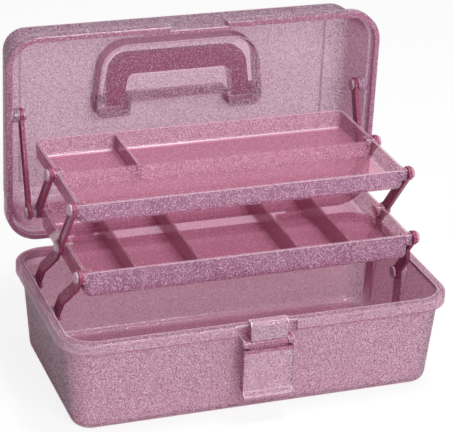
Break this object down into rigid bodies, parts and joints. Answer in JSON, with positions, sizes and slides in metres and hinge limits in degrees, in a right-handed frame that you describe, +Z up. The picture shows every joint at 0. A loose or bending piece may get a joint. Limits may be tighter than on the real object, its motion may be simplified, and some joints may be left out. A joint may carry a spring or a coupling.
{
  "type": "storage box",
  "caption": "Rounded rectangular storage box, open, with a hinged lid, a recessed bail handle, a front latch and divided trays that fold out on pivoting arms.",
  "frame": {"origin": "middle of the base's flat underside", "axes": "+X to the right along the length, +Y to the back where the lid is hinged, +Z up"},
  "size_m": [0.324, 0.2552, 0.2644],
  "materials": {
    "shell_plastic": "translucent mauve pink with fine silver glitter",
    "tray_plastic": "translucent mauve pink with fine silver glitter",
    "arm_plastic": "darker translucent pink",
    "pin_plastic": "pale translucent pink",
    "handle_plastic": "translucent mauve pink with fine silver glitter",
    "latch_plastic": "translucent mauve pink with fine silver glitter",
    "pin_metal": "plain steel wire"
  },
  "bodies": {
    "base": {"base_tub": "shell_plastic", "hinge_pins": "pin_metal", "latch_pin": "pin_metal", "base_front_pins": "pin_plastic", "base_rear_pins": "pin_plastic"},
    "lid": {"lid_shell": "shell_plastic", "handle_pins": "pin_plastic", "lid_link_pins": "pin_plastic"},
    "handle": {"handle": "handle_plastic"},
    "latch": {"latch": "latch_plastic"},
    "lower_tray": {"lower_tray": "tray_plastic", "lower_tray_front_pins": "pin_plastic", "lower_tray_middle_pins": "pin_plastic", "lower_tray_rear_pins": "pin_plastic"},
    "upper_tray": {"upper_tray": "tray_plastic", "cross_divider": "tray_plastic", "upper_tray_front_pins": "pin_plastic", "upper_tray_rear_pins": "pin_plastic"},
    "front_arms": {"front_arm_right": "arm_plastic", "front_arm_left": "arm_plastic"},
    "middle_arms": {"middle_arm_right": "arm_plastic", "middle_arm_left": "arm_plastic"},
    "rear_arms": {"rear_arm_right": "arm_plastic", "rear_arm_left": "arm_plastic"},
    "lid_links": {"lid_link_right": "arm_plastic", "lid_link_left": "arm_plastic"}
  },
  "joints": [
    {"name": "lid_hinge", "type": "hinge", "parent": "base", "child": "lid", "pos_m": [0, 0.0937, 0.081], "axis": [1, 0, 0], "range_deg": [0, 89]},
    {"name": "front_arm_pivot", "type": "hinge", "parent": "base", "child": "front_arms", "pos_m": [0, -0.0048, 0.0674], "axis": [1, 0, 0], "range_deg": [0, 34.5]},
    {"name": "middle_arm_pivot", "type": "hinge", "parent": "base", "child": "middle_arms", "pos_m": [0, 0.0532, 0.0674], "axis": [1, 0, 0], "range_deg": [0, 34.5]},
    {"name": "lower_tray_pivot", "type": "hinge", "parent": "middle_arms", "child": "lower_tray", "pos_m": [0, 0.01135, 0.11908], "axis": [1, 0, 0], "range_deg": [-34.5, 0]},
    {"name": "upper_tray_pivot", "type": "hinge", "parent": "middle_arms", "child": "upper_tray", "pos_m": [0, -0.0283, 0.16804], "axis": [1, 0, 0], "range_deg": [-34.5, 0]},
    {"name": "rear_arm_pivot", "type": "hinge", "parent": "lower_tray", "child": "rear_arms", "pos_m": [0, 0.07935, 0.11908], "axis": [1, 0, 0], "range_deg": [0, 34.5]},
    {"name": "lid_link_pivot", "type": "hinge", "parent": "lid", "child": "lid_links", "pos_m": [0, 0.10573, 0.19403], "axis": [1, 0, 0], "range_deg": [0, 14]},
    {"name": "handle_swing", "type": "hinge", "parent": "lid", "child": "handle", "pos_m": [0, 0.14793, 0.18316], "axis": [-1, 0, 0], "range_deg": [0, 95]},
    {"name": "latch_swing", "type": "hinge", "parent": "base", "child": "latch", "pos_m": [0, -0.0923, 0.0675], "axis": [1, 0, 0], "range_deg": [-7, 8]}
  ],
  "couplings": [
    {"joint": "front_arm_pivot", "follows": "lid_hinge", "ratio": 0.38764},
    {"joint": "middle_arm_pivot", "follows": "lid_hinge", "ratio": 0.38764},
    {"joint": "lower_tray_pivot", "follows": "lid_hinge", "ratio": -0.38764},
    {"joint": "upper_tray_pivot", "follows": "lid_hinge", "ratio": -0.38764},
    {"joint": "rear_arm_pivot", "follows": "lid_hinge", "ratio": 0.38764},
    {"joint": "lid_link_pivot", "follows": "lid_hinge", "ratio": 0.15585}
  ]
}
